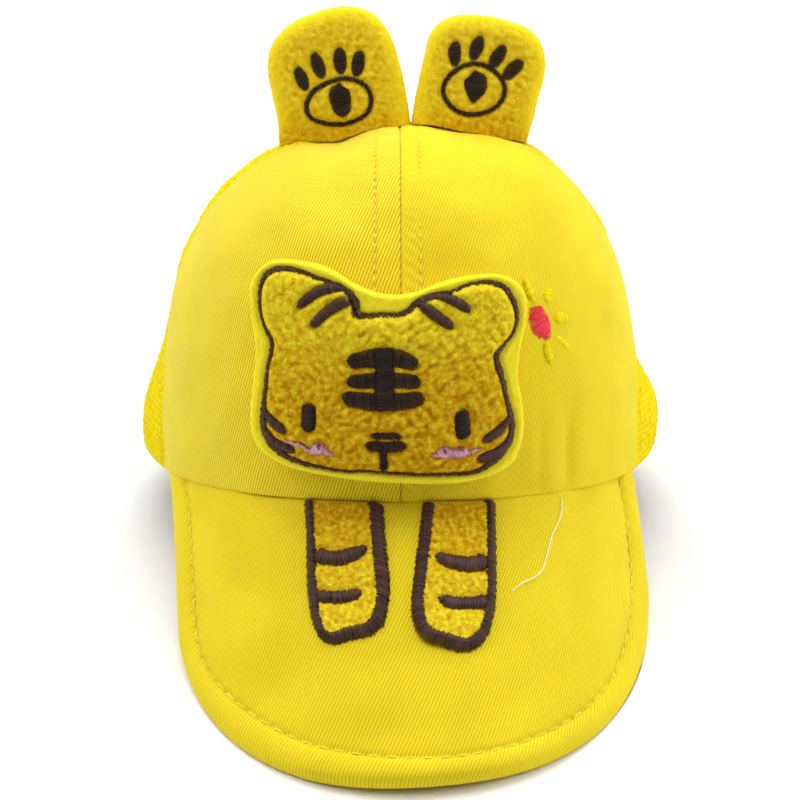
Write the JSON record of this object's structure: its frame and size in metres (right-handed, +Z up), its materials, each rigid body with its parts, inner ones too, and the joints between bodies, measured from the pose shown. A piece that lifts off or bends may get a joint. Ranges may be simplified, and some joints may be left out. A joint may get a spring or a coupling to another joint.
{
  "type": "toddler's animal cap",
  "caption": "Soft toddler's cap with a long arched brim, padded paw ears in the crown seam, a padded tiger head patch on the front and fleece legs on the brim.",
  "frame": {"origin": "middle of the cap's box, on the surface that it rests on", "axes": "+X towards the wearer's left, -Y out of the front over the brim, +Z up from the surface"},
  "size_m": [0.1614, 0.2416, 0.1518],
  "materials": {
    "cotton_twill": "matte",
    "plush_mesh": "matte",
    "mustard_fleece": "matte",
    "brown_thread": "satin",
    "pale_thread": "satin"
  },
  "bodies": {
    "root": {"crown_front_left": "cotton_twill", "crown_front_right": "cotton_twill", "mesh_side_left": "plush_mesh", "mesh_side_right": "plush_mesh", "mesh_back_left": "plush_mesh", "mesh_back_right": "plush_mesh", "brim": "cotton_twill", "paw_ear_left": "mustard_fleece", "paw_ear_right": "mustard_fleece", "tiger_head": "mustard_fleece", "leg_left": "mustard_fleece", "leg_right": "mustard_fleece"}
  },
  "joints": []
}
